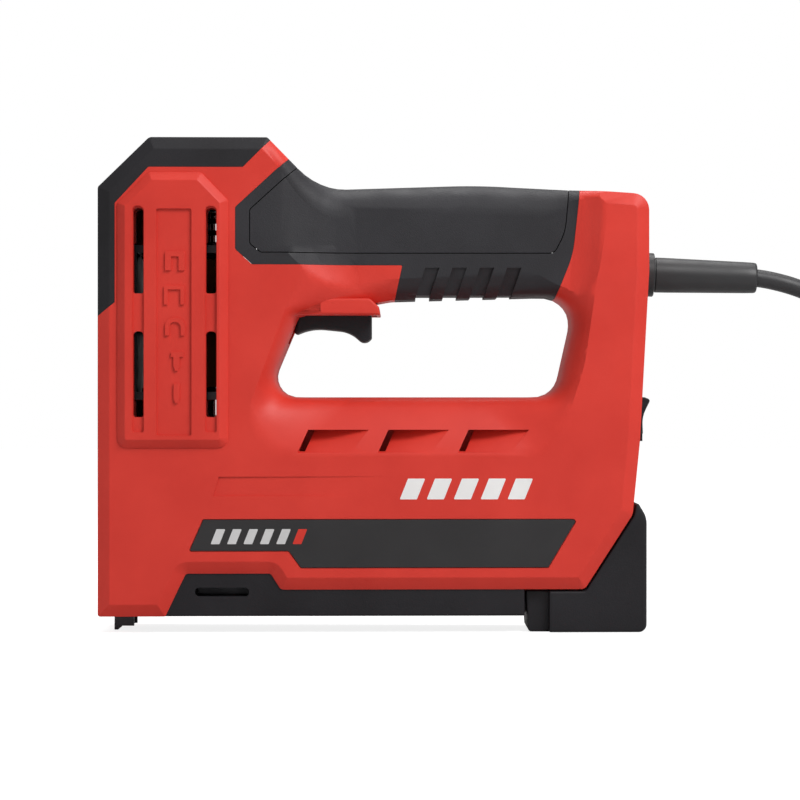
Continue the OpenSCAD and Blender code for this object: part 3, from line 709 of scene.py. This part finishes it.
def buildHousing():
    form = outerForm("form")
    for tool, how in ((handleTool(), "DIFFERENCE"), (topRoundTool(), "DIFFERENCE"), (panelForm(), "UNION"),
                      (scoopTool(), "DIFFERENCE")):
        cut(form, tool, how)
        print("form", len(form.data.polygons))
    editAll(form, mergeDoubles)
    for name, corners in cavities.items():
        cut(form, slab("cavity", corners, 2, cavityReach[name]))
    for low, high in cradleWalls:  # inner walls that hold the drive, seen through the slots
        cut(form, block("cradle", low, high), "UNION")
    print("cavities", len(form.data.polygons))

    bumper = copyOf(form, "leftBumper")
    cut(bumper, slab("region", inset(bumperOutline, bodyForm["seam"]), pastMiddle, -outside), "INTERSECT")
    grip = copyOf(form, "leftGrip")
    cut(grip, slab("region", inset(gripOutline, bodyForm["seam"]), pastMiddle, -outside), "INTERSECT")
    cut(form, slab("region", bumperOutline, pastMiddle, -outside))
    cut(form, slab("region", gripOutline, pastMiddle, -outside))
    form.name = "leftShell"
    return form, bumper, grip


leftShell, leftBumper, leftGrip = buildHousing()
print("housing split", len(leftShell.data.polygons), len(leftBumper.data.polygons), len(leftGrip.data.polygons))


# Slots and grooves in the head panel.
slotForm = {"places": (-91.8, -63.9), "lows": (83.3, 130.8), "half": 2, "tall": 33, "through": -14,
            "grooveHalf": 2.3, "grooveDeep": 1.3, "stripDeep": 1.1}


def slotTools():
    f = slotForm
    tools = []
    for x in f["places"]:
        wide = f["grooveHalf"]
        groove = [(x - wide, 77.5, 1), (x - wide, 164.5, 2), (x + wide, 164.5, 2), (x + wide, 77.5, 1)]
        tools.append(slab("groove", groove, lambda v: f["grooveDeep"] - side(v) - bodyForm["panelRaise"], -outside))
        for z in f["lows"]:
            slot = [(x - f["half"], z, 0.9), (x - f["half"], z + f["tall"], 1.6),
                    (x + f["half"], z + f["tall"], 1.6), (x + f["half"], z, 0.9)]
            tools.append(slab("slot", slot, f["through"], -outside))
    strip = [(-84.8, 76.2, 0.8), (-84.8, 163.4, 0.8), (-71.3, 163.4, 0.8), (-71.3, 76.2, 0.8)]
    tools.append(slab("strip", strip, lambda v: f["stripDeep"] - side(v) - bodyForm["panelRaise"], -outside))
    return tools


cutMany(leftShell, slotTools())

# Raised staple and nail shapes down the middle strip: left, bottom, right, top, leg, bar, corner radius.
stapleShapes = [(-81.5, 139.6, -73.9, 146.9, 2.4, 1.9, 0.4), (-81.9, 126.5, -74.1, 133.8, 1.5, 1.5, 0.4),
                (-81.5, 114.6, -73.9, 121.4, 1.6, 1.6, 3.0)]
nailShapes = [[(-77.6, 101, 0.2), (-78.3, 103, 0.2), (-78.3, 106.4, 0.2), (-79.2, 106.4, 0.2),
               (-79.2, 108.4, 0.3), (-74.4, 108.4, 0.3), (-74.4, 106.4, 0.2), (-75.9, 106.4, 0.2),
               (-75.9, 103, 0.2), (-76.6, 101, 0.2)],
              [(-77.5, 88.6, 0.2), (-78.2, 90.4, 0.2), (-78.2, 96.2, 0.3), (-75.9, 96.2, 0.3),
               (-75.9, 90.4, 0.2), (-76.6, 88.6, 0.2)]]


def symbolOutlines():
    outlines = list(nailShapes)
    for left, low, right, high, leg, bar, radius in stapleShapes:
        inner = max(radius - bar * 0.6, 0.2)
        outlines.append([(left, low, 0.2), (left, high, radius), (right, high, radius), (right, low, 0.2),
                         (right - leg, low, 0.2), (right - leg, high - bar, inner),
                         (left + leg, high - bar, inner), (left + leg, low, 0.2)])
    return outlines


lipForm = {"half": 20.6, "taper": 0.06, "chamfer": 1.0,
           "outline": [(-32, 122.9, 0.4), (-30.6, 127.6, 2.5), (-27.5, 129.4, 2), (-3, 129.4, 2.5), (0.6, 126, 1.5),
                       (1.1, 122.9, 0.4)]}


def lipHalf(x):
    return lipForm["half"] - lipForm["taper"] * (x + 32)


cut(leftShell, chamferedSlab("triggerLip", lipForm["outline"], lipHalf, lipForm["chamfer"]), "UNION")
cut(leftShell, block("otherSide", (-40, 0, 115), (10, 20, 140)))
for x in ventForm["starts"]:
    cutMany(leftShell, ventTools(x))
cut(leftShell, slab("pocket", labelOutline, lambda x: labelForm["pocket"] - side(x), -outside))
badgeRecess = stack("badgeRecess", [[(-61, -40, 60.4), (-63.4, -40, 52.9), (3, -40, 52.9), (7, -40, 60.4)],
                                    [(-61, 0.7 - side(-61), 60.4), (-63.4, 0.7 - side(-63), 52.9),
                                     (3, 0.02 - side(3), 52.9), (7, 0.02 - side(7), 60.4)]])
cut(leftShell, badgeRecess)
cut(leftShell, block("noseSeat", (-120, -14.2, -1), (-104, 3, 64.5)))
cut(leftShell, block("rearSeat", (95.5, -8.9, 50.8), (120, 3, 151.2)))
cut(leftShell, block("triggerWay", (-37, -7.6, 112), (-0.4, 3, 140)))
print("shell cut", len(leftShell.data.polygons))


symbolForm = {"foot": 1.2, "face": 2.75, "edge": 0.1}


def buildSymbols():
    f = symbolForm
    symbols = joined("leftSymbols", [slab("leftSymbols", outline, lambda x: -side(x) - f["foot"],
                                          lambda x: -side(x) - f["face"]) for outline in symbolOutlines()])
    soften(symbols, f["edge"])
    settle(mirrored(symbols, "rightSymbols"), "housing", redPlastic, "housing_red")
    return settle(symbols, "housing", redPlastic, "housing_red")


buildSymbols()

rightShell = mirrored(leftShell, "rightShell")
for x, z in screwPlaces:
    cut(rightShell, rod("counterbore", (x, 32, z), 3.2, 36))
for shell, name in ((leftShell, "left_housing"), (rightShell, "right_housing")):
    soften(shell, 0.45, 2, 44)
    settle(shell, "housing", redPlastic, "housing_red", name)
print("shells ready", len(leftShell.data.polygons), len(rightShell.data.polygons))

soften(leftBumper, 0.5, 2, 44)
rightBumper = mirrored(leftBumper, "rightBumper")
settle(leftBumper, "housing", bumperRubber, "soft_skin", "left_head_bumper")
settle(rightBumper, "housing", bumperRubber, "soft_skin", "right_head_bumper")


# Grip: a frame, a pad and finger grooves.
gripForm = {"firstRib": 14.4, "pitch": 10.6, "wide": 5.5, "lean": 4.1, "deep": 0.9, "padGap": 0.35}


def gripSurface(x, z):
    crease, opening = 158, 128.8 + (x - 7) * 0.032  # top and foot of the hollow at this x
    share = max(0, min(1, (crease - z) / (crease - opening)))
    return min(bodyForm["handleHalf"], side(x) - scoopDepth(share))


def fingerTools():
    tools = []
    f = gripForm
    for k in range(4):
        start = f["firstRib"] + f["pitch"] * k
        rows = [(start + f["lean"] * (z - 129) / 12.2, z) for z in (126, 130, 132, 134.5, 137.5, 141.2)]
        edge = rows + [(x + f["wide"], z) for x, z in reversed(rows)]
        tools.append(stack("groove", [[(x, -40, z) for x, z in edge],
                                      [(x, f["deep"] - gripSurface(x, z), z) for x, z in edge]]))
        foot = [(start - 0.3, 120), (start + 5.2, 120), (start + 5.9, 130.6), (start + 0.4, 130.6)]
        tools.append(stack("under", [[(x, y, z) for x, z in foot] for y in (-20, 3)]))
    return tools


cutMany(leftGrip, fingerTools())
leftPad = copyOf(leftGrip, "leftPad")
cut(leftPad, slab("region", padOutline, pastMiddle, -outside), "INTERSECT")
cut(leftGrip, slab("region", inset(padOutline, -gripForm["padGap"]), pastMiddle, -outside))
soften(leftGrip, 0.35, 2, 44)
soften(leftPad, 0.6, 2, 44)
rightGrip, rightPad = mirrored(leftGrip, "rightGrip"), mirrored(leftPad, "rightPad")
settle(leftGrip, "housing", softRubber, "soft_skin", "left_grip")
settle(rightGrip, "housing", softRubber, "soft_skin", "right_grip")
settle(leftPad, "housing", softRubber, "soft_skin")
settle(rightPad, "housing", softRubber, "soft_skin")
print("grip ready")


# Labels with plain slanted bars.
labelBars = {"first": -64.2, "pitch": 6.3, "wide": 3.4, "low": 34.4, "high": 40.2, "lean": 2.3, "count": 5}
bodyBars = {"first": 8.6, "pitch": 10.4, "wide": 6.6, "low": 51.6, "high": 59.6, "lean": 3.2, "count": 5}


def slantedBars(name, f, surface):
    bars = []
    for k in range(f["count"]):
        x = f["first"] + f["pitch"] * k
        outline = [(x, f["low"], 0.3), (x + f["lean"], f["high"], 0.3),
                   (x + f["lean"] + f["wide"], f["high"], 0.3), (x + f["wide"], f["low"], 0.3)]
        bars.append(slab(name, outline, lambda v: surface(v) + 0.3, lambda v: surface(v) - labelForm["ink"], 3))
    return joined(name, bars)


def labelSurface(x):
    return labelForm["sunk"] - side(x)


leftLabel = slab("leftLabel", inset(labelOutline, labelForm["clear"]), lambda x: labelForm["back"] - side(x),
                 labelSurface)
soften(leftLabel, 0.2)
rightLabel = mirrored(leftLabel, "rightLabel")
settle(leftLabel, "housing", labelFilm, "label_plate", "left_label")
settle(rightLabel, "housing", labelFilm, "label_plate", "right_label")
redBar = dict(labelBars, first=labelBars["first"] + labelBars["pitch"] * labelBars["count"], count=1)
for name, f, surface, ink in (("leftLabelBars", labelBars, labelSurface, greyPrint),
                              ("leftLabelRedBar", redBar, labelSurface, redPlastic),
                              ("leftBodyBars", bodyBars, lambda x: -side(x), whitePrint)):
    bars = slantedBars(name, f, surface)
    opposite = mirrored(bars, name.replace("left", "right"))
    settle(bars, "housing", ink, "label_plate")
    settle(opposite, "housing", ink, "label_plate")
print("labels ready")


# Magazine base and foot.
baseForm = {"front": -95.3, "back": 57.0, "low": 6.4, "high": 26.0, "clear": 3.05}
footOutline = [(66.3, 0, 0.8), (104.3, 0, 3), (104.3, 44.5, 9), (100.2, 51.3, 0.8), (99.4, 45.4, 5.5),
               (80.5, 16.1, 2), (66.3, 16.1, 0.6)]


def buildBase():
    f = baseForm
    outline = [(f["front"], f["low"], 0.6), (f["back"], f["low"], 0.6), (f["back"], f["high"], 0.6),
               (f["front"], f["high"], 0.6)]
    base = chamferedSlab("magazineBase", outline, lambda x: side(x) - f["clear"], 0.9, 3)
    window = [(-70.4, 14.1, 1.5), (-49.6, 14.1, 1.5), (-49.6, 17.4, 1.5), (-70.4, 17.4, 1.5)]
    cut(base, block("channelWay", (-100, -8.5, 0), (65, 8.5, 40)))
    cut(base, slab("window", window, 40, -40))
    for sign in (-1, 1):
        cut(base, block("lightening", (-40, sign * 17 - 2, 12), (50, sign * 17 + 2, 32)))
    soften(base, 0.25)
    return settle(base, "housing", blackPlastic, "black_plastic", "magazine_base")


def buildFoot():
    foot = chamferedSlab("magazineFoot", footOutline, lambda x: side(x) - 2.2, 1.3)
    toe = [(58.5, 0, 1.2), (72, 0, 0.3), (72, 16.1, 0.3), (57.4, 16.1, 0.5)]
    cut(foot, chamferedSlab("toe", toe, 17.5, 0.8), "UNION")
    cut(foot, block("channelSeat", (50, -8.05, 7), (74.7, 8.05, 40)))
    cut(foot, slab("hollow", [(77.5, 3, 0), (88, 3, 0), (88, 40, 0), (77.5, 20, 0)], -14, 14))
    cut(foot, block("latchPocket", (91, -8.3, 13.7), (120, 8.3, 28.3)))
    for x in (62, 70):
        cut(foot, rod("screwSeat", (x, 0, 1), 3, 4, "Z"))
        cut(foot, rod("screwHole", (x, 0, 4), 1.6, 8, "Z"))
    soften(foot, 0.3)
    return settle(foot, "magazine", blackPlastic, "black_plastic", "magazine_foot")


buildBase()
buildFoot()
print("base and foot ready")


# Trigger, rocker, latch and nose cover.
triggerOutline = [(-31.5, 124, 0.3), (-33, 115, 1), (-26, 118, 20), (-11, 116.5, 12), (-5.2, 111.2, 3),
                  (-2.4, 114, 0.8), (-2.4, 124, 0.4), (-3, 134, 1), (-34, 134, 1), (-42, 130, 3), (-42, 124, 2)]
rockerForm = {"x": 101.2, "z": 84.0, "tilt": 12.0, "half": 4.4}
rockerOutline = [(-2.5, -6, 0.6), (-2.5, 6, 0.6), (2, 7.6, 0.5), (4.6, 7.2, 1), (2.8, 0, 12), (4.6, -7.2, 1),
                 (2, -7.6, 0.5)]


def buildTrigger():
    trigger = chamferedSlab("triggerLever", triggerOutline, 7, 1.3, 6)
    cut(trigger, rod("pinHole", (-38, 0, 127), 1.55, 20))
    cut(trigger, block("springWell", (-30, -5.5, 120), (-6, 5.5, 140)))
    soften(trigger, 0.25)
    return settle(trigger, "trigger", blackPlastic, "black_plastic", "trigger")


def buildRocker():
    f = rockerForm
    lean = radians(f["tilt"])
    corners = [(f["x"] + x * cos(lean) + z * sin(lean), f["z"] - x * sin(lean) + z * cos(lean), radius)
               for x, z, radius in rockerOutline]
    rocker = chamferedSlab("rockerSwitch", corners, f["half"], 0.5, 6)
    cut(rocker, rod("pinHole", (f["x"], 0, f["z"]), 1.3, 12))
    soften(rocker, 0.2)
    return settle(rocker, "rocker", blackPlastic, "black_plastic", "rocker_button")


def buildLatch():
    latch = block("latchKey", (96.8, -8, 14), (104.1, 8, 28))
    for z in (16.4, 19.4, 22.4, 25.4):
        cut(latch, block("ridge", (103.5, -6, z), (106, 6, z + 1.2)))
    soften(latch, 0.4)
    return settle(latch, "latch", softRubber, "soft_skin", "latch_button")


def buildNoseCover():
    cover = block("noseCover", (-107.8, -14, 6.4), (-104.8, 14, 64.4))
    cut(cover, block("staplePath", (-109, -6, 0), (-103, 6, 15)))
    for z in (24, 30, 36):
        cut(cover, block("line", (-109, -9, z), (-107.2, 9, z + 1.6)))
    soften(cover, 0.7, 3)
    return settle(cover, "housing", redPlastic, "housing_red", "nose_cover")


buildTrigger()
buildRocker()
buildLatch()
buildNoseCover()
print("controls ready")


# Wound springs; each lists its joint, fixed end and travel.
springs = {"returnCoil": dict(node="return_spring", body="housing", start=(-76, 0, 150.1), axis="Z", length=29.8,
                              radius=11.9, wire=1.1, turns=6, joint="driver_slide", fixed=150.1, travel=22),
           "triggerCoil": dict(node="trigger_spring", body="housing", start=(-26, 0, 120.2), axis="Z", length=19.6,
                               radius=2.6, wire=0.4, turns=11, joint="trigger_pivot", fixed=139.8, travel=1.7),
           "pusherCoil": dict(node="pusher_spring", body="magazine", start=(-84.2, 0, 27), axis="X", length=146,
                              radius=2.3, wire=0.4, turns=44, joint="pusher_slide", fixed=61.8, travel=100),
           "latchCoil": dict(node="latch_spring", body="magazine", start=(91.1, 0, 21), axis="X", length=5.6,
                             radius=3.15, wire=0.35, turns=4, joint="latch_press", fixed=91.1, travel=2)}


def buildSpring(name, f):
    clearSelection()
    bpy.ops.mesh.primitive_circle_add(vertices=8, radius=f["wire"] * mm, rotation=(pi / 2, 0, 0),
                                      location=(f["radius"] * mm, 0, f["wire"] * mm))
    bpy.ops.object.transform_apply(location=True, rotation=True, scale=True)
    coil = bpy.context.object
    coil.name = coil.data.name = name
    wind = coil.modifiers.new("wind", "SCREW")
    wind.axis, wind.iterations, wind.steps, wind.render_steps = "Z", f["turns"], 18, 18
    wind.screw_offset = (f["length"] - 2 * f["wire"]) * mm / f["turns"]
    bpy.ops.object.modifier_apply(modifier=wind.name)
    if f["axis"] == "X":
        coil.data.transform(Matrix.Rotation(pi / 2, 4, "Y"))
    coil.data.transform(Matrix.Translation(Vector(f["start"]) * mm))
    editAll(coil, lambda: bpy.ops.mesh.fill_holes(sides=0), bpy.ops.mesh.normals_make_consistent)
    smooth(coil, 50)
    # The thick return spring, seen through the head slots, is dark steel as painted shade there; the thin springs
    # stay bright steel.
    settle(coil, f["body"], darkSteelAndShade if f["wire"] > 1 else brushedSteel, "steel", f["node"])
    anchor = [c * mm for c in f["start"]]
    anchor["XYZ".index(f["axis"])] = f["fixed"] * mm
    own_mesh(coil)


for name, f in springs.items():
    buildSpring(name, f)
print("springs ready")


# Finishes of the parts that keep their imported shape.
# The solenoid frame and the magazine channel get dark steel as painted shade, so the inside seen through the slots
# and the channel under the housing read black.
finishes = [(darkSteelAndShade, "solenoid_frame", "nose_front_plate", "nose_block", "nose_screws", "magazine_channel",
             "staple_core", "rod_bracket", "driver_blade", "housing_screws", "foot_screws", "clamp_screws"),
            (brushedSteel, "plunger", "blade_carrier", "blade_rivets", "trigger_pin", "rocker_pin", "guide_rod",
             "heat_sink", "plug_blades"),
            (copperWire, "coil_winding"), (boardGreen, "control_board"),
            (softRubber, "rear_panel", "stroke_bumper"),
            (blackPlastic, "switch_body", "microswitch", "capacitor", "coil_bobbin", "cord_clamp", "pusher"),
            (cordRubber, "cord_lead", "wiring")]
for material, *names in finishes:
    for name in names:
        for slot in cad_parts[name].material_slots:
            slot.material = material
print("finishes ready")
